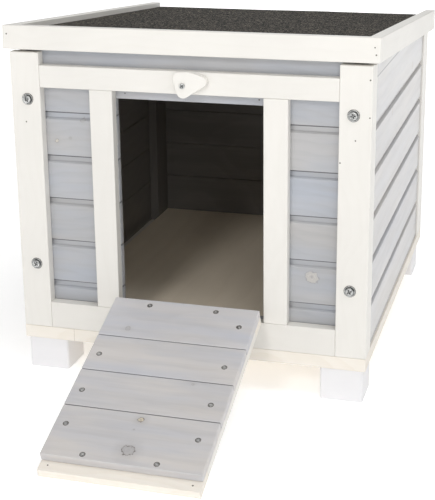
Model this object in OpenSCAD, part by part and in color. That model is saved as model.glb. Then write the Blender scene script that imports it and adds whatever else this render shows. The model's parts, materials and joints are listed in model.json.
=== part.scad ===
// Small rabbit hutch: a glazed pine box on four block feet, with a flat
// felted lid hinged at the back, a doorway in the front, and a boarded ramp
// that folds up into the doorway and is held there by a turn-button.
// Row frame: X to the right, Y from the front to the back, Z up, ground at 0.

/* [Body] */
// Outside width across the front stiles
body_w = 400; // [390:5:420]
// Outside depth from the front frame's face to the rear frame's face
body_d = 480; // [460:5:520]
// Height of the front stiles' tops above the plinth's underside
front_h = 335.5; // [334:0.5:337]
// Width of a corner stile
stile_w = 34; // [30:1:38]
// Thickness of the front and rear frame timbers
frame_t = 12.5; // [12:0.5:13]
// Height of the plinth boards
plinth_h = 15; // [13:0.5:16]

/* [Doorway] */
// Clear width of the doorway
door_w = 168; // [166:1:172]
// How far the doorway's centre lies right of the body's centre
door_offset = 2; // [0:0.5:4]
// Width of the uprights beside the doorway
mullion_w = 26.5; // [24:0.5:30]
// Top of the bottom rail above the plinth's underside
sill_z = 46; // [44:0.5:46]
// Underside of the board that closes the doorway's top
lintel_z = 286.5; // [285:0.5:290]
// Underside of the top rail
top_rail_z = 297; // [296:0.5:298]
// Height of the top rail
top_rail_h = 24.5; // [22:0.5:26]

/* [Boards] */
// Height that each shiplap board covers
board_pitch = 49.7; // [49.5:0.1:49.9]
// Thickness of a shiplap board
board_t = 8; // [7.5:0.1:8.5]
// Height of the lowest joint between boards
first_joint = 69.3; // [69:0.1:69.6]
// How far the side boards lie back from the stiles' outer faces
side_recess = 2; // [1:0.5:3]

/* [Lid] */
// Slope of the lid down towards the back, in degrees
roof_slope = 4.4; // [4:0.1:4.8]
// Width of the lid
roof_w = 414; // [412:1:418]
// How far the lid stands out in front of the body
front_overhang = 2; // [1:0.5:4]
// How far the lid stands out behind the body
rear_overhang = 12; // [12:1:20]
// Thickness of the lid's edge boards
fascia_t = 13.5; // [12.5:0.5:13.5]
// Height of the lid's edge boards
fascia_h = 26; // [24:1:30]
// Gap between the body's top edges and the lid's edge boards
roof_gap = 3; // [2.5:0.5:4]
// Thickness of the roof panel
panel_t = 12; // [9:1:14]
// Thickness of the roofing felt
felt_t = 2.5; // [2:0.5:3]

/* [Ramp] */
// Width of the ramp
ramp_w = 166; // [160:1:166]
// Length of the ramp from its hinge line
ramp_l = 247.5; // [240:0.5:247.5]
// Thickness of the ramp's boards
ramp_board_t = 9.5; // [8:0.5:10]
// Thickness of the battens under the boards
batten_t = 9.5; // [8:0.5:10]

/* [Feet] */
// Height of the feet
foot_h = 38; // [30:1:42]
// Width and depth of a foot
foot_side = 48; // [42:1:52]

/* [Turn-button] */
// Thickness of the turn-button
button_t = 7; // [5:0.5:8]
// Height of the turn-button's screw above the plinth's underside
button_z = 307.5; // [306:0.5:308]

/* [Hidden] */
$fn = 32;

white_glaze = [0.96, 0.95, 0.92];
grey_glaze = [0.72, 0.74, 0.77];
bare_pine = [0.93, 0.88, 0.78];
zinc = [0.62, 0.63, 0.65];
felt_black = [0.2, 0.19, 0.18];

half_w = body_w / 2;
hold = 0.3;                 // gap between pieces of different bodies
cut = 1;                    // how far a cutter runs past a face

// Side walls: the boards' outer face, and the inner leg that they are nailed to
side_face = half_w - side_recess;
leg_t = 12;
leg_face = side_face - board_t;
inner_face = leg_face - leg_t;
leg_w = 20;
front_strip = 30;           // white strip seen on the side at the front
rear_strip = 42;            // and at the back
front_end = frame_t;
rear_end = body_d - frame_t;

// Shiplap profile: the lip hangs over the tongue of the board below
lip_t = 3;
lip_h = 5.2;
tongue_gap = 0.2;
tongue_top = 4.7;
cove_h = 9;
joint_count = 5;
wide_cover = 110;           // height of the wide boards at the bottom and top, before they are cut

// Front boards run between the side walls, behind the frame
board_end = inner_face - hold;
door_left = door_offset - door_w / 2;
door_right = door_offset + door_w / 2;

// Lid: its own frame starts at the front edge boards' lower front edge,
// with Y running down the slope and Z square to it
lid_z = front_h + roof_gap;
lid_run = front_overhang + body_d + rear_overhang;
lid_l = lid_run / cos(roof_slope);
panel_w = 6;                // height of the roof panel's underside in the lid frame
lid_rest = panel_w - hold;  // the front and rear walls reach up to here

// Butt hinges
knuckle_r = 2.6;
leaf_t = 1.3;
pin_r = 1.2;
pin_play = 0.05;
hinge_w = 30;
knuckle_l = 10;
knuckle_gap = 0.3;
lid_hinge_x = 120;
ramp_hinge_x = 50;
wall_leaf_l = 22;
lid_leaf_l = 9;
ramp_leaf_l = 20;

// Hinge lines
lid_pivot_y = body_d + knuckle_r;
lid_pivot_u = (lid_pivot_y + front_overhang + knuckle_r * sin(roof_slope)) / cos(roof_slope);
lid_pivot_z = lid_z - lid_pivot_u * sin(roof_slope) - knuckle_r * cos(roof_slope);
ramp_pivot_z = 45.5;

// Ramp: angle below level at which its far edge meets the ground
ramp_start = 1.5;
ramp_t = batten_t + ramp_board_t;
ramp_drop = foot_h + ramp_pivot_z;
ramp_angle = asin(ramp_drop / norm([ramp_l, knuckle_r])) + atan(knuckle_r / ramp_l);
board_joints = [ramp_start, 63.5, 116.3, 167.9, 235.5];
board_gap = 0.5;
batten_w = 20;
top_crosspiece_w = 23.5;
foot_crosspiece_w = 27;

// Fasteners
screw_r = 1.5;
screw_head_r = 2.4;
frame_screw_x = 181;
front_screw_z = [92, 283.5];
rear_screw_z = [92, 262];
washer_r = 6.2;
washer_t = 1.2;
foot_inset = 3;
rear_foot_inset = 12;
ramp_edge_x = 69;
ramp_inner_x = 38;

// The part is centred front to back over everything it covers, ramp and all
ramp_reach = knuckle_r + ramp_l * cos(ramp_angle) + (knuckle_r + batten_t) * sin(ramp_angle);
rear_reach = body_d + rear_overhang + fascia_h * sin(roof_slope);
centre_y = (ramp_reach - rear_reach) / 2;

// Places its children on the feet, in the row frame
module on_feet() {
    translate([0, centre_y, foot_h]) children();
}

// The lid's own frame
module on_lid() {
    on_feet() translate([0, -front_overhang, lid_z]) rotate([-roof_slope, 0, 0]) children();
}

// The ramp's own frame as if it stood upright in the doorway: Z runs from
// the hinge line to the far edge and Y from the hinge line inwards
module on_ramp() {
    on_feet() translate([door_offset, -knuckle_r, ramp_pivot_z])
        rotate([90 + ramp_angle, 0, 0]) children();
}

// A block between two corners
module block(low, high) {
    translate(low) cube(high - low);
}

// Cuts its children off at a plane parallel to the lid's underside, this far below it
module below_lid(gap) {
    reach = 1000;
    intersection() {
        children();
        translate([0, -front_overhang, lid_z]) rotate([-roof_slope, 0, 0])
            translate([-reach / 2, -reach / 2, -reach - gap]) cube([reach, 2 * reach, reach]);
    }
}

// One shiplap board: outer face at y = 0, thickness towards +y, length along x
module shiplap(length, cover) {
    p = cover;
    rebate = lip_t + tongue_gap;
    rotate([90, 0, 90]) linear_extrude(length) polygon([
        [0, 0], [0, p - cove_h], [rebate / 2, p - cove_h + 1.6], [rebate, p - cove_h + 2.2],
        [rebate, p + tongue_top], [board_t, p + tongue_top],
        [board_t, lip_h], [lip_t, lip_h], [lip_t, 0]]);
}

// A wall of boards from z_low to z_high. Row 0 stands on the lowest joint; row -1
// below it and the row on the highest joint are wider boards cut to fit.
module siding(length, rows, z_low, z_high) {
    for (row = rows) {
        cover = row < 0 || row == joint_count - 1 ? wide_cover : board_pitch;
        bottom = row < 0 ? first_joint - cover : first_joint + row * board_pitch;
        intersection() {
            translate([0, 0, bottom]) shiplap(length, cover);
            block([-cut, -cut, z_low], [length + cut, board_t + cut, z_high]);
        }
    }
}

module foot(x, y) {
    bore_r = 5;
    bore_d = 24;
    edge = 3;
    color([0.93, 0.93, 0.94]) translate([x, y + centre_y, 0]) difference() {
        union() {
            block([-foot_side / 2, edge - foot_side / 2, 0],
                  [foot_side / 2, foot_side / 2 - edge, foot_h]);
            block([edge - foot_side / 2, -foot_side / 2, 0],
                  [foot_side / 2 - edge, foot_side / 2, foot_h]);
            for (sx = [-1, 1], sy = [-1, 1])
                translate([sx * (foot_side / 2 - edge), sy * (foot_side / 2 - edge), 0])
                    cylinder(r = edge, h = foot_h);
        }
        translate([0, 0, -cut]) cylinder(r = bore_r, h = bore_d + cut);
        cylinder(r = 2.2, h = foot_h + cut);
    }
}

foot_x = half_w - foot_inset - foot_side / 2;
foot_y = [foot_inset + foot_side / 2, body_d - rear_foot_inset - foot_side / 2];

module foot_front_left() foot(-foot_x, foot_y[0]);
module foot_front_right() foot(foot_x, foot_y[0]);
module foot_rear_left() foot(-foot_x, foot_y[1]);
module foot_rear_right() foot(foot_x, foot_y[1]);

// Screws up through the feet into the side plinths
module foot_screws() {
    head_z = 21;
    color(zinc) for (sx = [-1, 1], y = foot_y)
        translate([sx * foot_x, y + centre_y, head_z]) {
            cylinder(r = 4.2, h = 3);
            cylinder(r = 2, h = foot_h - head_z + 10);
        }
}

// Plinth of bare pine under the walls
plinth_d = 22;
plinth_w = 30;

module plinth_front() {
    color(bare_pine) on_feet() block([-half_w, 0, 0], [half_w, plinth_d, plinth_h]);
}

module plinth_rear() {
    color(bare_pine) on_feet()
        block([-half_w, body_d - plinth_d, 0], [half_w, body_d, plinth_h]);
}

module plinth_side(side) {
    color(bare_pine) on_feet() mirror([side < 0 ? 1 : 0, 0, 0])
        block([half_w - plinth_w, plinth_d, 0], [half_w, body_d - plinth_d, plinth_h]);
}

module plinth_left() plinth_side(-1);
module plinth_right() plinth_side(1);

module floor_panel() {
    floor_t = 7;
    color([0.62, 0.5, 0.38]) on_feet()
        block([-board_end, frame_t + board_t + hold, plinth_h],
              [board_end, body_d - frame_t - board_t - hold, plinth_h + floor_t]);
}

// Front frame
module front_stile(x) {
    color(white_glaze) on_feet() block([x, 0, plinth_h], [x + stile_w, frame_t, front_h]);
}

module front_stile_left() front_stile(-half_w);
module front_stile_right() front_stile(half_w - stile_w);

module mullion(x) {
    color(white_glaze) on_feet() block([x, 0, sill_z], [x + mullion_w, frame_t, top_rail_z]);
}

module mullion_left() mullion(door_left - mullion_w);
module mullion_right() mullion(door_right);

module front_rail(z_low, z_high) {
    color(white_glaze) on_feet()
        block([stile_w - half_w, 0, z_low], [half_w - stile_w, frame_t, z_high]);
}

module front_top_rail() front_rail(top_rail_z, top_rail_z + top_rail_h);
module front_bottom_rail() front_rail(plinth_h, sill_z);

// Grey boards behind the front frame
top_row = joint_count - 1;
top_joint = first_joint + top_row * board_pitch;

module front_boards(x_low, x_high) {
    color(grey_glaze) on_feet() translate([x_low, frame_t, 0])
        siding(x_high - x_low, [-1:top_row - 1], sill_z, front_h);
}

module front_boards_left() front_boards(-board_end, door_left);
module front_boards_right() front_boards(door_right, board_end);

module front_board_sill() {
    color(grey_glaze) on_feet()
        block([-board_end, frame_t, plinth_h], [board_end, frame_t + board_t, sill_z - tongue_gap]);
}

// The wide top board runs across and is cut out over the doorway
module front_board_lintel() {
    color(grey_glaze) on_feet() difference() {
        below_lid(-lid_rest) translate([-board_end, frame_t, 0])
            siding(2 * board_end, [top_row], 0, lid_z + panel_w);
        block([door_left, 0, top_joint - cut], [door_right, frame_t + 2 * board_t, lintel_z]);
    }
}

// Side walls: an L-shaped stile at each end, boards let in between them
module side_stile(side, y_outer, y_strip, y_leg) {
    color(white_glaze) on_feet() mirror([side < 0 ? 1 : 0, 0, 0]) below_lid(roof_gap) union() {
        block([inner_face, min(y_outer, y_strip), plinth_h],
              [half_w, max(y_outer, y_strip), front_h]);
        block([inner_face, min(y_strip, y_leg), plinth_h],
              [leg_face, max(y_strip, y_leg), front_h]);
    }
}

module side_stile_front(side) side_stile(side, front_end, front_strip, front_strip + leg_w);
module side_stile_rear(side)
    side_stile(side, rear_end, body_d - rear_strip, body_d - rear_strip - leg_w);
module side_stile_front_left() side_stile_front(-1);
module side_stile_front_right() side_stile_front(1);
module side_stile_rear_left() side_stile_rear(-1);
module side_stile_rear_right() side_stile_rear(1);

module side_top_rail(side) {
    rail_h = 24;
    color(white_glaze) on_feet() mirror([side < 0 ? 1 : 0, 0, 0]) difference() {
        below_lid(roof_gap)
            block([inner_face, front_strip + leg_w, front_h / 2],
                  [leg_face, body_d - rear_strip - leg_w, front_h]);
        below_lid(roof_gap + rail_h) block([0, 0, 0], [body_w, body_d, front_h]);
    }
}

module side_top_rail_left() side_top_rail(-1);
module side_top_rail_right() side_top_rail(1);

module side_boards(side) {
    length = body_d - rear_strip - front_strip;
    color(grey_glaze) on_feet() mirror([side < 0 ? 1 : 0, 0, 0]) below_lid(roof_gap)
        translate([side_face, front_strip, 0]) rotate([0, 0, 90])
            siding(length, [-1:top_row], plinth_h, front_h);
}

module side_boards_left() side_boards(-1);
module side_boards_right() side_boards(1);

// Rear wall, a frame like the front's with boards inside it
rear_top = lid_z - (front_overhang + body_d) * tan(roof_slope);

module rear_stile(x) {
    color(white_glaze) on_feet() below_lid(roof_gap)
        block([x, rear_end, plinth_h], [x + stile_w, body_d, front_h]);
}

module rear_stile_left() rear_stile(-half_w);
module rear_stile_right() rear_stile(half_w - stile_w);

module rear_top_rail() {
    rail_h = 34;
    color(white_glaze) on_feet() below_lid(-lid_rest)
        block([stile_w - half_w, rear_end, rear_top - rail_h], [half_w - stile_w, body_d, front_h]);
}

module rear_bottom_rail() {
    color(white_glaze) on_feet()
        block([stile_w - half_w, rear_end, plinth_h], [half_w - stile_w, body_d, sill_z]);
}

module rear_boards() {
    color(grey_glaze) on_feet() below_lid(roof_gap) translate([board_end, rear_end, 0])
        rotate([0, 0, 180]) siding(2 * board_end, [-1:top_row], plinth_h, front_h);
}

// Screws and washers that hold the front and rear frames to the side walls
module frame_fastener_places() {
    for (sx = [-1, 1], z = front_screw_z)
        on_feet() translate([sx * frame_screw_x, 0, z]) rotate([90, 0, 0]) children();
    for (sx = [-1, 1], z = rear_screw_z)
        on_feet() translate([sx * frame_screw_x, body_d, z]) rotate([-90, 0, 0]) children();
}

module frame_washers() {
    color(zinc) frame_fastener_places() difference() {
        cylinder(r = washer_r, h = washer_t);
        translate([0, 0, -cut]) cylinder(r = 2.2, h = washer_t + 2 * cut);
    }
}

module frame_screws() {
    color(zinc) frame_fastener_places() {
        translate([0, 0, washer_t]) cylinder(r = 4.2, h = 2);
        translate([0, 0, -28]) cylinder(r = 2, h = 28 + washer_t + cut);
    }
}

// One leaf of a butt hinge. Its pin lies on the X axis; the plate hangs down
// from it, flat against a face at y = knuckle_r. The fixed leaf has the two
// outer knuckles and the moving leaf the middle one.
module hinge_leaf(plate_l, outer) {
    inner_l = knuckle_l / 2 + (outer ? knuckle_gap : 0);
    clear = knuckle_r + knuckle_gap;
    difference() {
        union() {
            block([-hinge_w / 2, knuckle_r - leaf_t, -plate_l], [hinge_w / 2, knuckle_r, -clear]);
            for (span = outer ? [[-hinge_w / 2, -inner_l], [inner_l, hinge_w / 2]]
                              : [[-inner_l, inner_l]]) {
                block([span[0], knuckle_r - leaf_t, -clear - cut], [span[1], knuckle_r, 0]);
                translate([span[0], 0, 0]) rotate([0, 90, 0])
                    cylinder(r = knuckle_r, h = span[1] - span[0]);
            }
        }
        translate([-hinge_w, 0, 0]) rotate([0, 90, 0])
            cylinder(r = pin_r + pin_play, h = 2 * hinge_w);
    }
}

// A pan-head wood screw whose head lies on a face at z = 0, shank downwards
module wood_screw(shank_l) {
    cylinder(r = screw_head_r, h = 1.2);
    translate([0, 0, -shank_l]) cylinder(r = screw_r, h = shank_l + 0.5);
}

module lid_hinge_places() {
    for (sx = [-1, 1]) translate([sx * lid_hinge_x, 0, 0]) children();
}

module ramp_hinge_places() {
    for (sx = [-1, 1]) translate([sx * ramp_hinge_x, 0, 0]) children();
}

// Hinge lines seen from the walls that the fixed leaves are on
module at_lid_wall() {
    on_feet() translate([0, lid_pivot_y, lid_pivot_z]) rotate([0, 0, 180]) lid_hinge_places()
        children();
}

module at_ramp_rail() {
    on_feet() translate([door_offset, -knuckle_r, ramp_pivot_z]) ramp_hinge_places() children();
}

module at_lid() {
    on_lid() translate([0, lid_pivot_u, -knuckle_r]) rotate([90, 0, 0]) lid_hinge_places()
        children();
}

module at_ramp() {
    on_ramp() ramp_hinge_places() mirror([0, 0, 1]) children();
}

module lid_hinge_wall_leaves() {
    color(zinc) at_lid_wall() hinge_leaf(wall_leaf_l, true);
}

module ramp_hinge_rail_leaves() {
    color(zinc) at_ramp_rail() hinge_leaf(wall_leaf_l, true);
}

module lid_hinge_leaves() {
    color(zinc) at_lid() hinge_leaf(lid_leaf_l, false);
}

module ramp_hinge_leaves() {
    color(zinc) at_ramp() hinge_leaf(ramp_leaf_l, false);
}

module hinge_pin() {
    head_l = 0.6;
    translate([-hinge_w / 2 - head_l, 0, 0]) rotate([0, 90, 0]) {
        cylinder(r = pin_r, h = hinge_w + 2 * head_l);
        cylinder(r = 2, h = head_l);
        translate([0, 0, hinge_w + head_l]) cylinder(r = 2, h = head_l);
    }
}

module hinge_pins() {
    color(zinc) {
        at_lid_wall() hinge_pin();
        at_ramp_rail() hinge_pin();
    }
}

// Two screws through a hinge leaf, this far from the pin
module leaf_screws(reach, shank_l) {
    for (sx = [-1, 1])
        translate([sx * hinge_w / 3, knuckle_r - leaf_t, -reach]) rotate([90, 0, 0])
            wood_screw(shank_l);
}

module hinge_screws() {
    color(zinc) {
        at_lid_wall() leaf_screws(14, 10);
        at_ramp_rail() leaf_screws(14, 10);
    }
}

module lid_hinge_screws() {
    color(zinc) at_lid() leaf_screws(6, 12);
}

// Lid
module roof_panel() {
    color([0.8, 0.7, 0.55]) on_lid()
        block([fascia_t - roof_w / 2, fascia_t, panel_w],
              [roof_w / 2 - fascia_t, lid_l, panel_w + panel_t]);
}

module roof_felt() {
    color(felt_black) on_lid()
        block([fascia_t - roof_w / 2, fascia_t, panel_w + panel_t],
              [roof_w / 2 - fascia_t, lid_l, panel_w + panel_t + felt_t]);
}

module lid_fascia_front() {
    color(white_glaze) on_lid() block([-roof_w / 2, 0, 0], [roof_w / 2, fascia_t, fascia_h]);
}

module lid_fascia_side(side) {
    color(white_glaze) on_lid() mirror([side < 0 ? 1 : 0, 0, 0])
        block([roof_w / 2 - fascia_t, fascia_t, 0], [roof_w / 2, lid_l, fascia_h]);
}

module lid_fascia_left() lid_fascia_side(-1);
module lid_fascia_right() lid_fascia_side(1);

module lid_rear_batten() {
    start = lid_l - rear_overhang + 1.5;
    color(bare_pine) on_lid()
        block([fascia_t - roof_w / 2, start, 0], [roof_w / 2 - fascia_t, lid_l, panel_w]);
}

// Ramp
module ramp_board(number) {
    color([0.77, 0.77, 0.76]) on_ramp()
        block([-ramp_w / 2, knuckle_r + batten_t, board_joints[number - 1]],
              [ramp_w / 2, knuckle_r + ramp_t, board_joints[number] - board_gap]);
}

module ramp_board_1() ramp_board(1);
module ramp_board_2() ramp_board(2);
module ramp_board_3() ramp_board(3);
module ramp_board_4() ramp_board(4);

module ramp_batten(x) {
    color(white_glaze) on_ramp()
        block([x, knuckle_r, ramp_start + top_crosspiece_w],
              [x + batten_w, knuckle_r + batten_t, ramp_l - foot_crosspiece_w]);
}

module ramp_batten_left() ramp_batten(-ramp_w / 2);
module ramp_batten_right() ramp_batten(ramp_w / 2 - batten_w);

module ramp_crosspiece(z_low, z_high) {
    color(bare_pine) on_ramp()
        block([-ramp_w / 2, knuckle_r, z_low], [ramp_w / 2, knuckle_r + batten_t, z_high]);
}

module ramp_crosspiece_top() ramp_crosspiece(ramp_start, ramp_start + top_crosspiece_w);
module ramp_crosspiece_foot() ramp_crosspiece(ramp_l - foot_crosspiece_w, ramp_l);

// Screws through the ramp's boards, and those of its hinge leaves
module ramp_screws() {
    edge_rows = [92.5, 146, 193];
    inner_rows = [11, 229];
    places = [for (z = edge_rows, sx = [-1, 1]) [sx * ramp_edge_x, z],
              for (z = inner_rows, sx = [-1, 1]) [sx * ramp_inner_x, z],
              [ramp_edge_x, 31]];
    color(zinc) {
        on_ramp() for (place = places)
            translate([place[0] - door_offset, knuckle_r + ramp_t - 0.9, place[1]])
                rotate([-90, 0, 0]) wood_screw(11);
        at_ramp() leaf_screws(12, 6);
    }
}

// Turn-button: a three-cornered block with full, rounded sides, on one screw
module turn_button() {
    lobes = [[-3.5, 7.5, 7], [6, 4, 11], [20.5, 5, 6], [0.5, -6.2, 7.2]];    // x, z and radius
    color(white_glaze) on_feet() translate([0, -hold, button_z]) rotate([90, 0, 0]) difference() {
        linear_extrude(button_t) hull() for (l = lobes) translate([l[0], l[1]]) circle(r = l[2]);
        translate([0, 0, -cut]) cylinder(r = 2.1, h = button_t + 2 * cut);
    }
}

module button_screw() {
    head_play = 0.2;
    color(zinc) on_feet() translate([0, -hold, button_z]) rotate([90, 0, 0]) {
        translate([0, 0, button_t + head_play]) cylinder(r = 3, h = 1.6);
        translate([0, 0, -frame_t]) cylinder(r = 2.04, h = frame_t + button_t + cut);
    }
}

foot_front_left();
foot_front_right();
foot_rear_left();
foot_rear_right();
plinth_front();
plinth_rear();
plinth_left();
plinth_right();
floor_panel();
front_stile_left();
front_stile_right();
mullion_left();
mullion_right();
front_top_rail();
front_bottom_rail();
front_boards_left();
front_boards_right();
front_board_sill();
front_board_lintel();
side_stile_front_left();
side_stile_front_right();
side_stile_rear_left();
side_stile_rear_right();
side_top_rail_left();
side_top_rail_right();
side_boards_left();
side_boards_right();
rear_stile_left();
rear_stile_right();
rear_top_rail();
rear_bottom_rail();
rear_boards();
foot_screws();
frame_screws();
frame_washers();
hinge_pins();
hinge_screws();
lid_hinge_wall_leaves();
ramp_hinge_rail_leaves();
button_screw();
roof_panel();
roof_felt();
lid_fascia_front();
lid_fascia_left();
lid_fascia_right();
lid_rear_batten();
lid_hinge_leaves();
lid_hinge_screws();
ramp_board_1();
ramp_board_2();
ramp_board_3();
ramp_board_4();
ramp_batten_left();
ramp_batten_right();
ramp_crosspiece_top();
ramp_crosspiece_foot();
ramp_screws();
ramp_hinge_leaves();
turn_button();
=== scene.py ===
import math
import random

import bmesh
import bpy
from mathutils import Matrix, Vector, noise
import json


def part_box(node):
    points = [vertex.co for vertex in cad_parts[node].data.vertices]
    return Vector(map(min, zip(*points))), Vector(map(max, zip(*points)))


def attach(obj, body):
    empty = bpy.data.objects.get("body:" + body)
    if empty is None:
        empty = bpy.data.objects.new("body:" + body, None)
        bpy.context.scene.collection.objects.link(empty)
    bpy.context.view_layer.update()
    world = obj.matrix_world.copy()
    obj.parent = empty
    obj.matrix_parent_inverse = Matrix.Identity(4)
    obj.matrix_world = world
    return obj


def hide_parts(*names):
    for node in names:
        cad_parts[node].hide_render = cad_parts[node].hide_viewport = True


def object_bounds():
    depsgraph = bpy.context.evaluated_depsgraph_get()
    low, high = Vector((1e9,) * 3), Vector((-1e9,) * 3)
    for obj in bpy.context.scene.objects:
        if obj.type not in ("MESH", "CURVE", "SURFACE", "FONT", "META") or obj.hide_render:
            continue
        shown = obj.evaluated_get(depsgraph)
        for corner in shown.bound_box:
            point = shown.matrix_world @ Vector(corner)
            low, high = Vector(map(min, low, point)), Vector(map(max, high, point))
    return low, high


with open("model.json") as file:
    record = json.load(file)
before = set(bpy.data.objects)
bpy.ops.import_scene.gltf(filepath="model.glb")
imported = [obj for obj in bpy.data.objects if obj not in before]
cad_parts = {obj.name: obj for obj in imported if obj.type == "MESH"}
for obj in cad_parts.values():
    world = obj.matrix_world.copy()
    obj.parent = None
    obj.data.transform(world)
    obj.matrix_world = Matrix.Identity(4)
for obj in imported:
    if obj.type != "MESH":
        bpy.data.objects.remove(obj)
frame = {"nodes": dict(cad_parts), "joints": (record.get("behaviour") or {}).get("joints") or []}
cad_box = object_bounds()

MM = 0.001
DRAWS = random.Random(7)


# ---------------------------------------------------------------- places from the frame

def corner(node, high=False):
    """A CAD node's lowest or highest corner."""
    return Vector(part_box(node)[1 if high else 0])


def local_box(node, matrix):
    """A CAD node's lowest and highest corners in the frame that matrix places."""
    back = matrix.inverted()
    points = [back @ v.co for v in frame["nodes"][node].data.vertices]
    return [Vector(pick(p[k] for p in points) for k in range(3)) for pick in (min, max)]


JOINTS = {joint["name"]: joint for joint in frame["joints"]}
GROUND_Z = cad_box[0].z
PLINTH_Z = corner("plinth_front").z
FRONT_Y = corner("front_stile_left").y
BACK_Y = corner("rear_stile_left", True).y
DOOR_LEFT = corner("front_boards_left", True).x
DOOR_RIGHT = corner("front_boards_right").x
BOARD_FACE_Y, BOARD_BACK_Y = corner("front_boards_left").y, corner("front_boards_left", True).y
SIDE_FACE_X = corner("side_boards_right", True).x

# the shiplap rows, the lid's slope, the cabin, the ramp's joints and the hardware, as in the CAD model
BOARD_PITCH = 49.7 * MM
FIRST_JOINT_Z = PLINTH_Z + 69.3 * MM
TOP_ROW = 4
ROOF_SLOPE = math.radians(4.4)
CABIN_HALF_W, WALL_T = 193 * MM, 19 * MM
RAMP_JOINTS = (63.5 * MM, 116.3 * MM, 167.9 * MM)
LID_HINGE_X, RAMP_HINGE_X = 120 * MM, 50 * MM
KNUCKLE_R, LEAF_T, HINGE_SCREW_X, LEAF_SCREW_REACH = 2.6 * MM, 1.3 * MM, 10 * MM, 14 * MM
HINGE_HEAD_R, HINGE_HEAD_H = 2.4 * MM, 1.2 * MM
WASHER_R, WASHER_H = 6.2 * MM, 1.2 * MM

LID_PIVOT = Vector(JOINTS["lid_hinge"]["pos_m"])
RAMP_PIVOT = Vector(JOINTS["ramp_hinge"]["pos_m"])
BUTTON_PIVOT = Vector(JOINTS["button_turn"]["pos_m"])
RAMP_ANGLE = math.radians(JOINTS["ramp_hinge"]["range_deg"][1] - 90)

# the lid's own frame: Y runs down the slope from its hinge line and Z is square to it
LID = Matrix.Translation(LID_PIVOT) @ Matrix.Rotation(-ROOF_SLOPE, 4, "X")
# the ramp's own frame: X across it, Y from its underside upwards, Z from the hinge to the far edge
RAMP = Matrix.Translation(RAMP_PIVOT) @ Matrix.Rotation(math.pi / 2 + RAMP_ANGLE, 4, "X")
RAMP_TOP = local_box("ramp_board_4", RAMP)[1].y

FORWARD = Matrix.Rotation(math.pi / 2, 4, "X")      # turns Z to face the front
BACKWARD = Matrix.Rotation(-math.pi / 2, 4, "X")    # and the back
DOWN = Matrix.Rotation(math.pi, 4, "X")


def at(x, y, z):
    return Matrix.Translation((x, y, z))


# ---------------------------------------------------------------- camera, light and floor

def make_camera():
    """Stands to the right of the doorway, looking down and a little to the left."""
    focal_px, long_side_px = 1209.0, 500.0
    yaw, pitch, roll = 0.2785, 0.2906, -0.0093
    data = bpy.data.cameras.new("camera")
    data.sensor_width = 36
    data.lens = focal_px * data.sensor_width / long_side_px
    data.shift_x, data.shift_y = -0.015, -0.1
    data.clip_start, data.clip_end = 0.1, 60
    camera = bpy.data.objects.new("camera", data)
    bpy.context.collection.objects.link(camera)
    forward = Vector((-math.sin(yaw) * math.cos(pitch), math.cos(yaw) * math.cos(pitch), -math.sin(pitch)))
    level = Vector((math.cos(yaw), math.sin(yaw), 0))
    upright = level.cross(forward)
    right = level * math.cos(roll) + upright * math.sin(roll)
    up = upright * math.cos(roll) - level * math.sin(roll)
    turn = Matrix((right, up, -forward)).transposed().to_4x4()
    place = Vector((385.8 * MM, FRONT_Y - 1196.6 * MM, PLINTH_Z + 556.1 * MM))
    camera.matrix_world = Matrix.Translation(place) @ turn
    bpy.context.scene.camera = camera


def area_light(name, place, target, size, power, colour=(1, 1, 1)):
    data = bpy.data.lights.new(name, "AREA")
    data.shape, data.size, data.energy, data.color = "DISK", size, power, colour
    light = bpy.data.objects.new(name, data)
    bpy.context.collection.objects.link(light)
    light.location = place
    light.rotation_euler = (Vector(target) - Vector(place)).to_track_quat("-Z", "Y").to_euler()


def make_studio():
    world = bpy.data.worlds.new("studio")
    world.use_nodes = True
    background = world.node_tree.nodes["Background"]
    background.inputs["Color"].default_value = (1, 1, 1, 1)
    background.inputs["Strength"].default_value = 0.42
    bpy.context.scene.world = world
    middle = (0, 0, 0.2)
    area_light("key", (-0.35, -2.9, 1.95), middle, 0.7, 25, (1, 0.985, 0.97))
    area_light("near_camera", (1.3, -2.9, 1.5), middle, 0.9, 12, (1, 0.99, 0.97))
    area_light("side", (2.6, -0.9, 0.7), (0, 0, 0.1), 1.2, 5)
    area_light("back", (-0.6, 3.0, 2.0), middle, 1.8, 16)
    area_light("top", (1.1, -0.8, 2.9), middle, 1.6, 25)
    bpy.context.scene.view_settings.view_transform = "Standard"


def make_floor():
    """A pale floor that stays bright far from the lights, so the background is even."""
    bpy.ops.mesh.primitive_plane_add(size=60, location=(0, 0, GROUND_Z))
    floor = bpy.context.object
    floor.name = "studio_floor"
    graph = Graph("studio_floor")
    graph.base((0.93, 0.93, 0.93), 0.85)
    away = graph.vector("LENGTH", graph.place(), (0, 0, 0))
    graph.put(graph.shader.inputs["Emission Strength"], graph.ramp(
        graph.math("DIVIDE", away, 4.0), (0.1, 0.36), (0.6, 0.72)))
    graph.shader.inputs["Emission Color"].default_value = (1, 1, 1, 1)
    floor.data.materials.append(graph.material)


# ---------------------------------------------------------------- node materials

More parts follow.
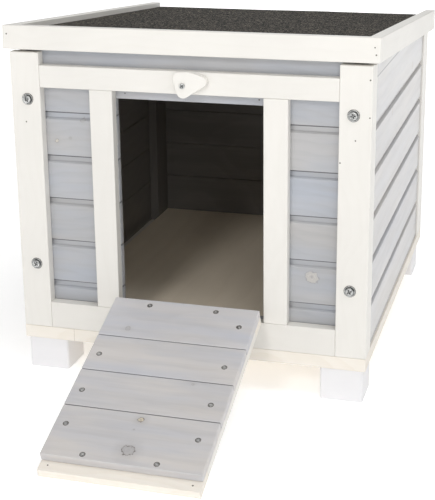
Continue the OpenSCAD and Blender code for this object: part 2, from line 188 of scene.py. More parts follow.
class Graph:
    """A material's node tree, with short calls for the nodes used below."""

    def __init__(self, name):
        self.material = bpy.data.materials.new(name)
        self.material.use_nodes = True
        self.tree = self.material.node_tree
        self.shader = self.tree.nodes["Principled BSDF"]

    def base(self, colour, roughness, uniform=()):
        """Colour and roughness, and uniform numbers for the shader's other sockets."""
        self.put(self.shader.inputs["Base Color"], colour)
        self.put(self.shader.inputs["Roughness"], roughness)
        for key, value in dict(uniform).items():
            self.shader.inputs[key].default_value = value

    def put(self, socket, value):
        if isinstance(value, bpy.types.NodeSocket):
            self.tree.links.new(value, socket)
        elif isinstance(value, tuple) and socket.type == "RGBA":
            socket.default_value = (*value, 1)
        else:
            socket.default_value = value

    def node(self, kind, inputs=(), **settings):
        made = self.tree.nodes.new(kind)
        for key, value in settings.items():
            setattr(made, key, value)
        for key, value in dict(inputs).items():
            self.put(made.inputs[key], value)
        return made

    def math(self, operation, a, b=0.0, clamp=False):
        return self.node("ShaderNodeMath", {0: a, 1: b}, operation=operation, use_clamp=clamp).outputs[0]

    def add(self, *values):
        total = values[0]
        for value in values[1:]:
            total = self.math("ADD", total, value)
        return total

    def times(self, a, b):
        return self.math("MULTIPLY", a, b)

    def swing(self, value, size):
        """A 0-to-1 value as a swing about nought, size from end to end."""
        return self.math("MULTIPLY", self.math("SUBTRACT", value, 0.5), size)

    def vector(self, operation, a, b):
        made = self.node("ShaderNodeVectorMath", {0: a, 1: b}, operation=operation)
        return made.outputs["Value" if operation in ("LENGTH", "DISTANCE", "DOT_PRODUCT") else "Vector"]

    def combine(self, x, y, z):
        return self.node("ShaderNodeCombineXYZ", {0: x, 1: y, 2: z}).outputs[0]

    def split(self, vector):
        return self.node("ShaderNodeSeparateXYZ", {0: vector}).outputs

    def noise(self, vector, scale, detail=3.0, roughness=0.5):
        made = self.node("ShaderNodeTexNoise", {
            "Vector": vector, "Scale": scale, "Detail": detail, "Roughness": roughness})
        return made.outputs["Fac"]

    def cells(self, vector, scale):
        """A grain pattern: each cell's own random tone, and the distance from its middle."""
        made = self.node("ShaderNodeTexVoronoi", {"Vector": vector, "Scale": scale})
        return self.split(made.outputs["Color"])[0], made.outputs["Distance"]

    def random(self, value):
        return self.node("ShaderNodeTexWhiteNoise", {"W": value}, noise_dimensions="1D").outputs["Value"]

    def ramp(self, value, *stops):
        """Maps a number through (position, grey or colour) stops."""
        made = self.node("ShaderNodeValToRGB", {"Fac": value})
        marks = made.color_ramp.elements
        while len(marks) < len(stops):
            marks.new(0.5)
        for mark, (place, tone) in zip(marks, stops):
            mark.position = place
            mark.color = (*tone, 1) if isinstance(tone, tuple) else (tone, tone, tone, 1)
        return made.outputs["Color"]

    def mix(self, share, a, b, mode="MIX"):
        made = self.node("ShaderNodeMix", data_type="RGBA", blend_type=mode)
        self.put(made.inputs["Factor"], share)
        for key, value in (("A", a), ("B", b)):
            self.put(next(s for s in made.inputs if s.name == key and s.type == "RGBA"), value)
        return next(s for s in made.outputs if s.type == "RGBA")

    def shade(self, colour, tone):
        return self.mix(1.0, colour, self.combine(tone, tone, tone), "MULTIPLY")

    def bump(self, height, strength, distance):
        made = self.node("ShaderNodeBump", {"Height": height, "Strength": strength, "Distance": distance})
        self.put(self.shader.inputs["Normal"], made.outputs["Normal"])

    def place(self, tilt=0.0):
        """Coordinates in the row frame, in metres, turned about X by tilt."""
        spot = self.node("ShaderNodeTexCoord").outputs["Object"]
        if not tilt:
            return spot
        return self.node("ShaderNodeMapping", {"Vector": spot, "Rotation": (tilt, 0, 0)}).outputs[0]

    def within(self, value, low, high):
        """1 where value lies between low and high."""
        return self.times(self.math("GREATER_THAN", value, low), self.math("LESS_THAN", value, high))

    def worn_edges(self, radius, spot):
        """Broken patches along convex arrises."""
        soft = self.node("ShaderNodeBevel", {"Radius": radius}, samples=4).outputs["Normal"]
        flat = self.node("ShaderNodeNewGeometry").outputs["Normal"]
        turn = self.math("SUBTRACT", 1.0, self.vector("DOT_PRODUCT", soft, flat))
        chips = self.ramp(self.noise(spot, 70.0, 4.0, 0.65), (0.5, 0.0), (0.62, 1.0))
        return self.times(self.ramp(turn, (0.01, 0.0), (0.12, 1.0)), chips)


def knotted(graph, colour, spot, knots):
    """Knots in the timber's face, each (centre, radius, heart's tone, heart's share, rim's share): a
    heart with fine rings, a thin dark broken rim, and a bruised halo."""
    for centre, radius, tone, heart_share, rim_share in knots:
        away = graph.math("DIVIDE", graph.vector("DISTANCE", spot, centre), radius)
        away = graph.add(away, graph.swing(graph.noise(spot, 170.0, 4.0, 0.6), 1.5))
        halo = graph.ramp(graph.math("DIVIDE", away, 3.0), (0.3, 0.4), (0.5, 0.2), (1.0, 0.0))
        rings = graph.ramp(graph.math("FRACT", graph.times(away, 2.6)),
                           (0.35, 1.0), (0.75, 0.75), (1.0, 1.0))
        heart = graph.ramp(away, (0.8, 1.0), (1.0, 0.0))
        rim = graph.ramp(graph.times(away, 0.5), (0.41, 0.0), (0.46, 1.0), (0.51, 1.0), (0.57, 0.0))
        broken = graph.ramp(graph.noise(spot, 420.0, 2.0), (0.35, 0.35), (0.6, 1.0))
        colour = graph.mix(graph.times(halo, 0.85 * rim_share), colour, (0.3, 0.28, 0.27))
        colour = graph.mix(graph.times(heart, heart_share), colour, graph.mix(1.0, rings, tone, "MULTIPLY"))
        colour = graph.mix(graph.times(graph.times(rim, broken), rim_share), colour, (0.14, 0.12, 0.11))
    return colour


def wood(name, light, dark, grain, figure=0.2, ring=8.0 * MM, tilt=0.0, roughness=0.45, seed=0.0, rows=False,
         cool=None, inside=None, knots=(), relief=0.12 * MM, streaks=0.3, gloss=0.0, joint=None, seams=()):
    """Planed softwood under a thin glaze. grain is the axis along the timber, figure how strongly the
    growth rings show, rows is True where each shiplap row is a board of its own and a painted shadow lies
    under each board's lip, cool a second tone that the glaze drifts to, inside a dark tone painted on the
    faces inside the cabin as painted shade, joint a place where two lengths butt, and seams the
    (point, direction) pairs at which two boards lie side by side, with painted shade along each gap."""
    graph = Graph(name)
    spot = graph.place(tilt)
    parts = dict(zip("xyz", graph.split(spot)))
    along = parts[grain]
    a, b = [parts[k] for k in "xyz" if k != grain]
    if rows:
        rise = graph.math("DIVIDE", graph.math("SUBTRACT", parts["z"], FIRST_JOINT_Z), BOARD_PITCH)
        row = graph.math("MINIMUM", graph.math("MAXIMUM", graph.math("FLOOR", rise), -1.0), TOP_ROW)
        board = graph.add(row, seed)
    else:
        board = graph.add(graph.node("ShaderNodeObjectInfo").outputs["Random"], seed)
    if joint:
        board = graph.add(board, graph.math("GREATER_THAN", along, joint))
    chance = [graph.random(graph.add(board, shift)) for shift in (0.0, 7.3, 13.7, 21.1)]

    # growth rings: cylinders about a pith line that wanders behind the face
    slow = graph.combine(graph.times(along, 3.0), graph.add(a, chance[0]), graph.add(b, chance[1]))
    pith_a = graph.add(a, graph.swing(chance[0], 0.09), graph.swing(graph.noise(slow, 2.4, 2.0), 0.06))
    aside = graph.vector("ADD", slow, (5, 5, 5))
    pith_b = graph.add(b, graph.swing(chance[1], 0.09), graph.swing(graph.noise(aside, 2.4, 2.0), 0.06))
    pull = 0.0
    for centre, radius, *_ in knots:
        away = graph.math("DIVIDE", graph.vector("DISTANCE", spot, centre), radius)
        fading = graph.math("POWER", math.e, graph.times(away, -0.7))
        pull = graph.add(pull, graph.times(fading, radius * 1.5))
    off_pith = graph.vector("LENGTH", graph.combine(pith_a, pith_b, pull), (0, 0, 0))
    radial = graph.math("DIVIDE", off_pith, ring)
    uneven = graph.combine(graph.times(along, 6.0), graph.times(a, 40.0), graph.times(b, 40.0))
    radial = graph.add(radial, graph.swing(graph.noise(uneven, 1.0, 2.0), 0.9))
    late = graph.ramp(graph.math("FRACT", radial),
                      (0.0, 0.15), (0.25, 0.0), (0.75, 0.75), (0.9, 1.0), (1.0, 0.15))

    # fine fibres, brushed streaks and cloudy glaze
    threads = graph.combine(graph.times(along, 14.0), graph.times(a, 520.0), graph.times(b, 520.0))
    fibre = graph.noise(threads, 1.0, 3.0, 0.7)
    streak = graph.noise(graph.combine(graph.add(graph.times(along, 4.0), graph.times(chance[2], 9.0)),
                                       graph.times(a, 95.0), graph.times(b, 95.0)), 1.0, 4.0, 0.62)
    cloud = graph.noise(graph.vector("ADD", spot, (3.1, 0.7, 1.9)), 11.0, 4.0, 0.6)
    share = graph.math("ADD", graph.add(graph.times(late, figure), graph.swing(fibre, figure * 1.1)),
                       graph.swing(streak, streaks), clamp=True)
    colour = graph.mix(share, light, dark)
    if cool:
        wash = graph.noise(graph.combine(graph.add(graph.times(along, 7.0), graph.times(chance[3], 5.0)),
                                         graph.times(a, 38.0), graph.times(b, 38.0)), 1.0, 3.0, 0.55)
        drift = graph.add(graph.times(graph.ramp(wash, (0.36, 0.0), (0.66, 1.0)), 0.6),
                          graph.times(chance[2], 0.4))
        colour = graph.mix(drift, colour, graph.mix(share, cool, dark))
    tone = graph.add(0.955, graph.times(chance[1], 0.06), graph.swing(cloud, 0.11))
    colour = knotted(graph, graph.shade(colour, tone), spot, knots)
    if joint:
        seam = graph.within(along, joint - 0.2 * MM, joint + 0.2 * MM)
        colour = graph.mix(graph.times(seam, 0.6), colour, (0.3, 0.24, 0.17))
    # Painted shade: faces within a millimetre of each gap between boards are darkened, for the shade in the
    # gap.
    for spot_on_seam, square_to_seam in seams:
        off = graph.vector("DOT_PRODUCT", graph.vector("SUBTRACT", spot, spot_on_seam), square_to_seam)
        gap_shade = graph.times(graph.within(off, -0.8 * MM, 0.4 * MM), 0.6)
        colour = graph.mix(gap_shade, colour, (0.08, 0.08, 0.09))
    # Painted shadow: a dark band just under each board's lip, for the shadow the lip casts on the recess
    # below it.
    if rows:
        lip = graph.times(graph.math("FRACT", rise), BOARD_PITCH)
        under = graph.within(lip, BOARD_PITCH - 1.9 * MM, BOARD_PITCH + 1.0)
        colour = graph.mix(graph.times(under, 0.8), colour, (0.09, 0.09, 0.1))
    # Painted shade: faces inside the cabin take a dark tone, for the shade that falls inside it.
    if inside:
        skin = 1.5 * MM
        depth = graph.times(graph.within(parts["x"], skin - CABIN_HALF_W, CABIN_HALF_W - skin),
                            graph.within(parts["y"], BOARD_BACK_Y - skin, BACK_Y - WALL_T))
        colour = graph.mix(depth, colour, graph.shade(inside, graph.add(0.75, graph.times(share, 0.5))))
    colour = graph.mix(graph.times(graph.worn_edges(1.0 * MM, spot), 0.4), colour, (0.6, 0.5, 0.37))
    graph.base(colour, graph.add(roughness - 0.1, graph.times(streak, 0.2)),
               {"Coat Weight": gloss, "Coat Roughness": 0.22})
    raised = graph.add(graph.times(fibre, 0.5), graph.times(late, 0.35), graph.times(streak, 1.4))
    graph.bump(raised, 0.6, relief)
    return graph.material


def granules(name):
    """Mineral-faced roofing felt: dark granules in bitumen with a pale one here and there."""
    graph = Graph(name)
    spot = graph.place(ROOF_SLOPE)
    tone, middle = graph.cells(spot, 620.0)
    fine, _ = graph.cells(graph.vector("ADD", spot, (2, 3, 4)), 1800.0)
    colour = graph.ramp(graph.add(graph.times(tone, 0.75), graph.times(fine, 0.25)),
                        (0.0, (0.003, 0.0028, 0.0025)), (0.52, (0.007, 0.0062, 0.0053)),
                        (0.66, (0.02, 0.018, 0.0145)), (0.92, (0.3, 0.262, 0.205)))
    patch = graph.noise(spot, 14.0, 3.0, 0.6)
    colour = graph.shade(colour, graph.add(0.85, graph.times(patch, 0.3)))
    graph.base(colour, graph.add(0.72, graph.times(fine, 0.22)), {"Specular IOR Level": 0.18})
    graph.bump(graph.add(graph.math("SUBTRACT", 1.0, middle), graph.times(fine, 0.4)), 0.8, 0.5 * MM)
    return graph.material


def zinc(name):
    """Bright zinc plate with clouded passivation and rolling marks, and painted shade darkening its
    recesses.
    """
    graph = Graph(name)
    spot = graph.place()
    cloud = graph.noise(spot, 420.0, 4.0, 0.6)
    # Painted shade: the colour turns near black where ambient occlusion finds a recess, for the shade and
    # dark reflections in the cross and under the rims.
    crevice_shade = graph.node("ShaderNodeAmbientOcclusion", {"Distance": 1.6 * MM}, samples=8).outputs["AO"]
    colour = graph.mix(graph.ramp(cloud, (0.35, 0.0), (0.7, 1.0)), (0.3, 0.31, 0.31), (0.78, 0.785, 0.77))
    colour = graph.mix(graph.ramp(crevice_shade, (0.55, 1.0), (0.97, 0.0)), colour, (0.012, 0.013, 0.012))
    scratch = graph.noise(graph.vector("MULTIPLY", spot, (2400, 300, 2400)), 1.0, 2.0)
    graph.base(colour, graph.add(0.2, graph.times(cloud, 0.28)), {"Metallic": 1.0})
    graph.bump(graph.add(scratch, graph.times(cloud, 0.5)), 0.25, 0.03 * MM)
    return graph.material


def moulded(name, colour):
    """Moulded plastic with a fine spark-eroded texture and faint flow marks."""
    graph = Graph(name)
    spot = graph.place()
    flow = graph.noise(graph.vector("MULTIPLY", spot, (18, 18, 60)), 1.0, 3.0, 0.6)
    dirt = graph.worn_edges(1.6 * MM, spot)
    tone = graph.shade(colour, graph.add(0.965, graph.times(flow, 0.07)))
    soiled = graph.mix(graph.times(dirt, 0.12), tone, (0.6, 0.58, 0.55))
    graph.base(soiled, graph.add(0.34, graph.times(flow, 0.2)))
    graph.bump(graph.noise(spot, 2600.0, 2.0), 0.35, 0.05 * MM)
    return graph.material


def pressed_hole(name):
    """Bruised glaze and raw fibre round a driven nail or screw."""
    graph = Graph(name)
    spot = graph.place()
    fibre = graph.noise(graph.vector("MULTIPLY", spot, (300, 1500, 1500)), 1.0, 3.0, 0.7)
    graph.base(graph.ramp(fibre, (0.3, (0.05, 0.045, 0.04)), (0.7, (0.2, 0.18, 0.155))), 0.8)
    graph.bump(fibre, 0.7, 0.1 * MM)
    return graph.material


# ---------------------------------------------------------------- dressing the CAD nodes

def dress(nodes, material, bevel=0.7 * MM, segments=2):
    """Gives CAD nodes a material and softly rounded arrises."""
    for name in nodes:
        shown = frame["nodes"][name]
        shown.data.materials.clear()
        shown.data.materials.append(material)
        if bevel:
            weld = shown.modifiers.new("weld", "WELD")
            weld.merge_threshold = 0.01 * MM
            flat = shown.modifiers.new("flat", "DECIMATE")
            flat.decimate_type, flat.angle_limit = "DISSOLVE", math.radians(1)
            edge = shown.modifiers.new("arris", "BEVEL")
            edge.width, edge.segments, edge.limit_method = bevel, segments, "ANGLE"
            edge.angle_limit = math.radians(35)
            edge.harden_normals = True


def starting(*starts):
    return [name for name in frame["nodes"] if name.startswith(starts)]


# ---------------------------------------------------------------- pieces made in mesh code

def piece(name, mesh, body, material, stands_for=(), smooth=True):
    """Finishes a bmesh as a piece that rides on a body."""
    bmesh.ops.recalc_face_normals(mesh, faces=mesh.faces)
    data = bpy.data.meshes.new(name)
    mesh.to_mesh(data)
    mesh.free()
    data.materials.append(material)
    for face in data.polygons:
        face.use_smooth = smooth
    made = bpy.data.objects.new(name, data)
    bpy.context.collection.objects.link(made)
    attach(made, body)
    if stands_for:
        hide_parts(*stands_for)
    return made


def turned(mesh, place, profile, relief=None, steps=40):
    """Turns a profile of (radius, height) points about Z. relief(x, y) is added to the height of
    points above height nought, and a point of no radius closes the form."""
    rings = []
    for radius, height in profile:
        ring = []
        for step in range(steps if radius else 1):
            angle = 2 * math.pi * step / steps
            x, y = radius * math.cos(angle), radius * math.sin(angle)
            lift = relief(x, y) if relief and height > 0 else 0.0
            ring.append(mesh.verts.new(place @ Vector((x, y, height + lift))))
        rings.append(ring)
    for outer, inner in zip(rings, rings[1:]):
        for step in range(steps):
            after = (step + 1) % steps
            corners = [outer[step % len(outer)], outer[after % len(outer)],
                       inner[after % len(inner)], inner[step % len(inner)]]
            mesh.faces.new(list(dict.fromkeys(corners)))


def cross_recess(reach, depth, turn):
    """The relief of a cross-head drive: four arms and a deeper middle, turned by an angle."""
    arm = reach * 0.26

    def relief(x, y):
        u = abs(x * math.cos(turn) + y * math.sin(turn))
        v = abs(y * math.cos(turn) - x * math.sin(turn))
        if max(u, v) > reach or min(u, v) > arm:
            return 0.0
        return -depth * (1.0 - 0.45 * max(u, v) / reach)
    return relief


def head_profile(radius, height, domed):
    """A screw head from its foot up over the rim to the middle, fine enough to carry a recess."""
    rim = [(radius, 0.0), (radius, height * 0.45), (radius * 0.965, height * 0.72)]
    inner = [radius * (1 - step / 14) for step in range(1, 14)]
    top = [(r, height * (1 - domed * (r / radius) ** 2.2)) for r in inner]
    return rim + top + [(0.0, height)]


def screws(name, body, places, radius, height, material, stands_for=(), domed=0.3, depth=0.7, shank=0.0):
    """Cross-head screws, one at each place, each turned its own way, as one piece."""
    mesh = bmesh.new()
    for place in places:
        turned(mesh, place, head_profile(radius, height, domed),
               cross_recess(radius * 0.62, height * depth, DRAWS.uniform(0, math.pi)))
        if shank:
            turned(mesh, place, [(shank, 0.02 * MM), (shank, -6 * MM), (0.0, -6 * MM)], steps=16)
    return piece(name, mesh, body, material, stands_for)


def washers(name, body, places, material, stands_for):
    """Dished washers with a rolled rim."""
    outline = [(2.3, 0.2), (2.3, 0.7), (3.4, 0.75), (4.4, 0.6), (5.3, 0.85),
               (5.8, 1.2), (6.1, 1.05), (6.2, 0.5), (6.1, 0.0)]
    mesh = bmesh.new()
    for place in places:
        turned(mesh, place, [(r * MM, h * MM) for r, h in outline], steps=56)
    return piece(name, mesh, body, material, stands_for)


def holes(name, body, places, radius, material):
    """The bruised rims that screws leave in the glaze, each a little ragged; round the washers they are also
    painted contact shadow.
    """
    mesh = bmesh.new()
    for place in places:
        turned(mesh, place, [(radius + 0.55 * MM, 0.0), (radius + 0.4 * MM, 0.09 * MM),
                             (radius + 0.1 * MM, 0.1 * MM), (radius - 0.15 * MM, 0.0)],
               lambda x, y: 0.05 * MM * noise.noise(Vector((x, y, 0)) * 900), steps=32)
    return piece(name, mesh, body, material)


def frame_fasteners(steel, bruise):
    side_x = 181 * MM
    front = [at(s * side_x, FRONT_Y, PLINTH_Z + z * MM) @ FORWARD for s in (-1, 1) for z in (92, 283.5)]
    back = [at(s * side_x, BACK_Y, PLINTH_Z + z * MM) @ BACKWARD for s in (-1, 1) for z in (92, 262)]
    washers("frame_washers_dished", "hutch", front + back, steel, ["frame_washers"])
    lifted = [place @ at(0, 0, WASHER_H) for place in front + back]
    screws("frame_screws_crosshead", "hutch", lifted, 4.2 * MM, 2.0 * MM, steel, ["frame_screws"])
    # The dark ring round each washer is a bruise in the glaze and also painted shadow, for the contact
    # shadow at the washer's edge.
    holes("washer_marks", "hutch", front + back, WASHER_R - 0.1 * MM, bruise)


def ramp_fasteners(steel, bruise):
    edge_x, inner_x = 69 * MM, 38 * MM
    centre = RAMP_PIVOT.x
    spots = [(s * edge_x, z) for z in (92.5, 146, 193) for s in (-1, 1)]
    spots += [(s * inner_x, z) for z in (11, 229) for s in (-1, 1)] + [(edge_x, 31)]
    tops = [RAMP @ at(x - centre, RAMP_TOP, z * MM) @ BACKWARD for x, z in spots]
    leaf = [RAMP @ at(s * RAMP_HINGE_X + t * HINGE_SCREW_X, KNUCKLE_R - LEAF_T, 12 * MM) @ FORWARD
            for s in (-1, 1) for t in (-1, 1)]
    screws("ramp_screws_countersunk", "ramp", tops, 2.3 * MM, 0.3 * MM, steel, ["ramp_screws"],
           domed=0.1, depth=2.4)
    screws("ramp_leaf_screws", "ramp", leaf, HINGE_HEAD_R, HINGE_HEAD_H, steel)
    holes("ramp_screw_marks", "ramp", tops, 2.5 * MM, bruise)


def hinge_fasteners(steel):
    pairs = [(s, t) for s in (-1, 1) for t in (-1, 1)]
    behind, ahead = LID_PIVOT.y - KNUCKLE_R + LEAF_T, RAMP_PIVOT.y + KNUCKLE_R - LEAF_T
    wall = [at(s * LID_HINGE_X + t * HINGE_SCREW_X, behind, LID_PIVOT.z - LEAF_SCREW_REACH) @ BACKWARD
            for s, t in pairs]
    rail = [at(RAMP_PIVOT.x + s * RAMP_HINGE_X + t * HINGE_SCREW_X, ahead,
               RAMP_PIVOT.z - LEAF_SCREW_REACH) @ FORWARD for s, t in pairs]
    screws("hinge_screws_crosshead", "hutch", wall + rail, HINGE_HEAD_R, HINGE_HEAD_H, steel,
           ["hinge_screws"])
    under = [LID @ at(s * LID_HINGE_X + t * HINGE_SCREW_X, 6 * MM, KNUCKLE_R - LEAF_T) @ DOWN
             for s, t in pairs]
    screws("lid_leaf_screws", "lid", under, HINGE_HEAD_R, HINGE_HEAD_H, steel, ["lid_hinge_screws"])


def button_fastener(steel):
    face = corner("turn_button").y - 0.2 * MM
    screws("button_screw_crosshead", "hutch", [at(BUTTON_PIVOT.x, face, BUTTON_PIVOT.z) @ FORWARD],
           3.0 * MM, 1.6 * MM, steel, ["button_screw"], shank=2.0 * MM)


def screw_tip(steel):
    """The point of a screw that comes through the rear corner post inside the cabin."""
    post = corner("side_stile_rear_left", True)
    place = at(post.x, corner("side_stile_rear_left").y + 12 * MM, PLINTH_Z + 232 * MM) @ Matrix.Rotation(
        math.pi / 2, 4, "Y")
    threads = [(1.9 - 0.45 * k + 0.45 * half, 1.1 * k + 0.5 * half) for k in range(4) for half in (0, 1)]
    mesh = bmesh.new()
    outline = [(2.4, 0.0), *threads, (0.0, 5.2)]
    turned(mesh, place, [(r * MM, h * MM) for r, h in outline], steps=24)
    piece("screw_tip", mesh, "hutch", steel)


def nail_heads(name, body, places, material):
    """Pin nails driven just under the face: each a ragged rim round a sunken head."""
    mesh = bmesh.new()
    for place in places:
        size = DRAWS.uniform(0.5, 0.72) * MM
        turned(mesh, place, [(size * 1.35, 0.0), (size * 1.15, 0.14 * MM), (size * 0.8, 0.16 * MM),
                             (size * 0.6, 0.05 * MM), (0.0, 0.04 * MM)],
               lambda x, y: 0.05 * MM * noise.noise(Vector((x, y, 0)) * 1400), steps=18)
    piece(name, mesh, body, material)


def nails(bruise):
    fronts = [(-184, 257.8), (183.5, 257.3), (167.9, 232.9), (197.5, 321), (197.8, 282)]
    nail_heads("stile_nails", "hutch", [at(x * MM, FRONT_Y, PLINTH_Z + z * MM) @ FORWARD for x, z in fronts],
               bruise)
    lintel = [(-71.5, 292.6), (78.5, 292.6)]
    nail_heads("lintel_nails", "hutch",
               [at(x * MM, BOARD_FACE_Y, PLINTH_Z + z * MM) @ FORWARD for x, z in lintel],
               bruise)
    fascia = local_box("lid_fascia_front", LID)
    edges = [(-201.7, 16.5), (201.3, 16.0), (202.9, 8.5)]
    nail_heads("fascia_nails", "lid", [LID @ at(x * MM, fascia[0].y, fascia[0].z + z * MM) @ FORWARD
                                       for x, z in edges], bruise)
    foot = local_box("ramp_crosspiece_foot", RAMP)
    ends = [(-74, 7.5), (74, 7.0)]
    nail_heads("crosspiece_nails", "ramp", [RAMP @ at(x * MM, foot[1].y, foot[1].z - z * MM) @ BACKWARD
                                            for x, z in ends], bruise)


def felt_sheet(material):
    """The roofing felt: granular, laid with slight waves, its edges turned down to the panel."""
    low, high = local_box("roof_felt", LID)
    cell, drop = 2.2 * MM, 0.6 * MM
    across, down = (int((high[k] - low[k]) / cell) for k in (0, 1))
    mesh = bmesh.new()
    grid = []
    for j in range(down + 1):
        row = []
        for i in range(across + 1):
            x = low.x + (high.x - low.x) * i / across
            y = low.y + (high.y - low.y) * j / down
            wave = noise.noise(Vector((x * 9, y * 6, 0.3))) * 0.5
            wave += noise.noise(Vector((x * 30, y * 24, 4.0))) * 0.2
            grit = noise.noise(Vector((x, y, 0.0)) * 700) * 0.22
            edge = min(i, j, across - i, down - j)
            sink = drop * max(0.0, 1 - edge / 2) ** 2
            row.append(mesh.verts.new(LID @ Vector((x, y, high.z - drop + (wave + grit) * MM * 0.8 - sink))))
        grid.append(row)
    for upper, lower in zip(grid, grid[1:]):
        for i in range(across):
            mesh.faces.new((upper[i], upper[i + 1], lower[i + 1], lower[i]))
    rim = grid[0] + [row[-1] for row in grid[1:]] + grid[-1][-2::-1] + [row[0] for row in grid[-2:0:-1]]
    base = []
    for v in rim:
        spot = LID.inverted() @ v.co
        base.append(mesh.verts.new(LID @ Vector((spot.x, spot.y, low.z))))
    for k in range(len(rim)):
        after = (k + 1) % len(rim)
        mesh.faces.new((rim[k], rim[after], base[after], base[k]))
    mesh.faces.new(base)
    piece("felt_sheet", mesh, "lid", material, ["roof_felt"])


def jamb_ends(material):
    """Rough-sawn ends of the front boards, which stand a little into the doorway, board by board."""
    sill = corner("front_boards_left").z
    joints = [sill] + [FIRST_JOINT_Z + k * BOARD_PITCH for k in range(TOP_ROW + 1)]
    mesh = bmesh.new()
    for side, door in ((1, DOOR_LEFT), (-1, DOOR_RIGHT)):
        for low, high in zip(joints, joints[1:]):
            reach = DRAWS.uniform(0.3, 0.75) * MM
            front = BOARD_FACE_Y + DRAWS.uniform(0.0, 0.6) * MM
            levels = max(2, int((high - low) / (2.5 * MM)))
            loops = []
            for k in range(levels + 1):
                z = low + 0.25 * MM + (high - low - 0.5 * MM) * k / levels
                rough = reach + 0.3 * MM * noise.noise(Vector((door * 40, z * 160, 0)))
                if k in (0, levels):
                    rough *= 0.6
                rough = min(max(rough, 0.2 * MM), 0.85 * MM)
                outline = [(-0.3 * MM, front), (rough * 0.75, front), (rough, front + 0.8 * MM),
                           (rough * 0.95, BOARD_BACK_Y - 1.2 * MM), (rough * 0.6, BOARD_BACK_Y),
                           (-0.3 * MM, BOARD_BACK_Y)]
                loops.append([mesh.verts.new((door + side * x, y, z)) for x, y in outline])
            for lower, upper in zip(loops, loops[1:]):
                for i in range(len(lower)):
                    j = (i + 1) % len(lower)
                    mesh.faces.new((lower[i], lower[j], upper[j], upper[i]))
            mesh.faces.new(loops[0])
            mesh.faces.new(loops[-1])
    piece("jamb_board_ends", mesh, "hutch", material, smooth=False)


# ---------------------------------------------------------------- palette and dressing

WHITE, WHITE_DARK = (0.765, 0.747, 0.708), (0.68, 0.655, 0.6)
GREY, GREY_DARK, GREY_COOL = (0.455, 0.446, 0.44), (0.315, 0.31, 0.317), (0.395, 0.422, 0.475)
# The side boards' grey is set lighter than the front boards' grey: painted sheen, for the light the sides
# pick up from the bright surroundings.
SIDE, SIDE_DARK, SIDE_COOL = (0.5, 0.482, 0.465), (0.34, 0.325, 0.317), (0.42, 0.428, 0.46)
RAMP_GREY, RAMP_DARK, RAMP_COOL = (0.655, 0.623, 0.597), (0.39, 0.375, 0.368), (0.515, 0.532, 0.588)
PINE, PINE_DARK = (0.835, 0.79, 0.72), (0.74, 0.67, 0.56)
FLOOR_PLY, FLOOR_PLY_DARK = (0.92, 0.82, 0.67), (0.74, 0.64, 0.5)
ROOF_PLY, ROOF_PLY_DARK = (0.5, 0.4, 0.28), (0.36, 0.27, 0.18)
FOOT = (0.78, 0.775, 0.79)
# The cabin tone below is painted shade: a dark tone for the faces inside the cabin.
CABIN_SHADE = (0.235, 0.222, 0.208)
PALE_KNOT, BROWN_KNOT, GREY_KNOT = (0.62, 0.58, 0.5), (0.5, 0.42, 0.32), (0.42, 0.41, 0.41)
RESIN_KNOT = (0.7, 0.62, 0.46)


def dress_white_timber():
    """The white frame, the lid's edge boards, the ramp's battens and the turn-button."""
    look = dict(figure=0.1, ring=9 * MM, roughness=0.42, streaks=0.2, relief=0.09 * MM, inside=CABIN_SHADE)
    upright = wood("white_glaze_upright", WHITE, WHITE_DARK, "z", seed=1.0, **look)
    across = wood("white_glaze_across", WHITE, WHITE_DARK, "x", seed=2.0, **look)
    deep = wood("white_glaze_deep", WHITE, WHITE_DARK, "y", seed=3.0, tilt=ROOF_SLOPE, **look)
    dress(starting("front_stile", "rear_stile", "side_stile", "mullion"), upright, 0.9 * MM)
    dress(["front_top_rail", "front_bottom_rail", "rear_top_rail", "rear_bottom_rail"], across, 0.9 * MM)
    dress(["lid_fascia_front"], across, 1.1 * MM)
    dress(["lid_fascia_left", "lid_fascia_right"], deep, 1.1 * MM)
    dress(["side_top_rail_left", "side_top_rail_right", "ramp_batten_left", "ramp_batten_right"], deep)
    dress(["turn_button"], across, 1.2 * MM, 3)


def dress_siding():
    """The grey shiplap boards. Knots are (millimetres along, up, radius, then the look)."""
    front = [
        (-154, 235, 2.2, PALE_KNOT, 0.8, 0.6),
        (-138, 239, 1.2, GREY_KNOT, 0.6, 0.6),
        (-122, 261, 3.2, GREY_KNOT, 0.2, 0.35),
        (137, 99, 7.0, PALE_KNOT, 0.45, 0.3),
        (137, 100, 0.9, GREY_KNOT, 1.0, 1.0)]
    side = [
        (164, 254, 4.0, BROWN_KNOT, 0.3, 0.5),
        (335, 277, 4.5, BROWN_KNOT, 0.3, 0.5),
        (418, 35, 5.0, BROWN_KNOT, 0.5, 0.6)]
    front_knots = [((x * MM, BOARD_FACE_Y, PLINTH_Z + z * MM), r * MM, *look) for x, z, r, *look in front]
    side_knots = [((SIDE_FACE_X, FRONT_Y + y * MM, PLINTH_Z + z * MM), r * MM, *look)
                  for y, z, r, *look in side]
    look = dict(figure=0.16, ring=10 * MM, rows=True, roughness=0.34, gloss=0.35, inside=CABIN_SHADE, streaks=0.8)
    across = wood("grey_glaze_across", GREY, GREY_DARK, "x", cool=GREY_COOL, seed=5.0,
                  knots=front_knots, **look)
    deep = wood("grey_glaze_deep", SIDE, SIDE_DARK, "y", cool=SIDE_COOL, seed=9.0, knots=side_knots, **look)
    dress(starting("front_board", "rear_board"), across, 0.4 * MM)
    dress(["side_boards_left", "side_boards_right"], deep, 0.4 * MM)
    return across


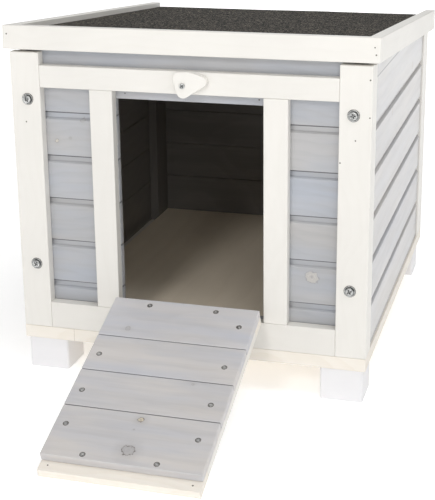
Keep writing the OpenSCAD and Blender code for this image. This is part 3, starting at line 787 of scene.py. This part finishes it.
def dress_ramp():
    """The ramp's grey boards. Knots are (millimetres across, down the ramp, radius, then the look)."""
    knots = [
        (3, 176, 3.4, RESIN_KNOT, 0.9, 0.95),
        (3, 176.5, 0.8, GREY_KNOT, 1.0, 1.0),
        (3, 217, 6.2, GREY_KNOT, 0.35, 0.95),
        (0, 190, 0.7, GREY_KNOT, 0.8, 0.8),
        (-53, 50, 3.0, GREY_KNOT, 0.35, 0.5),
        (41, 121, 1.6, GREY_KNOT, 0.3, 0.4)]
    placed = [(tuple(RAMP @ Vector((x * MM, RAMP_TOP, z * MM))), r * MM, *look) for x, z, r, *look in knots]
    down_ramp = tuple(RAMP.to_3x3() @ Vector((0, 0, 1)))
    seams = [(tuple(RAMP @ Vector((0, RAMP_TOP, z))), down_ramp) for z in RAMP_JOINTS]
    grey = wood("grey_glaze_ramp", RAMP_GREY, RAMP_DARK, "x", figure=0.1, ring=12 * MM, cool=RAMP_COOL,
                seed=4.0, roughness=0.46, knots=placed, streaks=0.95, seams=seams)
    dress(starting("ramp_board"), grey, 1.3 * MM, 3)


def dress_bare_timber():
    """The plinth and crosspieces of bare pine, the front one of two lengths, and the plywood panels."""
    look = dict(figure=0.25, roughness=0.6)
    across = wood("bare_pine_across", PINE, PINE_DARK, "x", seed=6.0, joint=-139 * MM, **look)
    deep = wood("bare_pine_deep", PINE, PINE_DARK, "y", seed=8.0, **look)
    dress(["plinth_front", "plinth_rear", "lid_rear_batten"] + starting("ramp_crosspiece"), across)
    dress(["plinth_left", "plinth_right"], deep)
    dress(["floor_panel"], wood("plywood_floor", FLOOR_PLY, FLOOR_PLY_DARK, "y", figure=0.14,
                                ring=26 * MM, seed=11.0, roughness=0.7))
    dress(["roof_panel"], wood("plywood_roof", ROOF_PLY, ROOF_PLY_DARK, "y", figure=0.3, ring=18 * MM,
                               seed=12.0, tilt=ROOF_SLOPE, roughness=0.7))


def dress_hardware(steel):
    leaves = ["lid_hinge_leaves", "lid_hinge_wall_leaves", "ramp_hinge_leaves", "ramp_hinge_rail_leaves"]
    dress(leaves, steel, 0.25 * MM)
    dress(["hinge_pins", "foot_screws"], steel, 0)


make_camera()
make_studio()
make_floor()

dress_white_timber()
siding_grey = dress_siding()
dress_ramp()
dress_bare_timber()
dress(starting("foot_front", "foot_rear"), moulded("foot_plastic", FOOT), 1.2 * MM, 3)
steel = zinc("zinc_plate")
dress_hardware(steel)

bruise = pressed_hole("bruised_wood")
frame_fasteners(steel, bruise)
ramp_fasteners(steel, bruise)
hinge_fasteners(steel)
button_fastener(steel)
screw_tip(steel)
nails(bruise)
felt_sheet(granules("roofing_felt"))
jamb_ends(siding_grey)
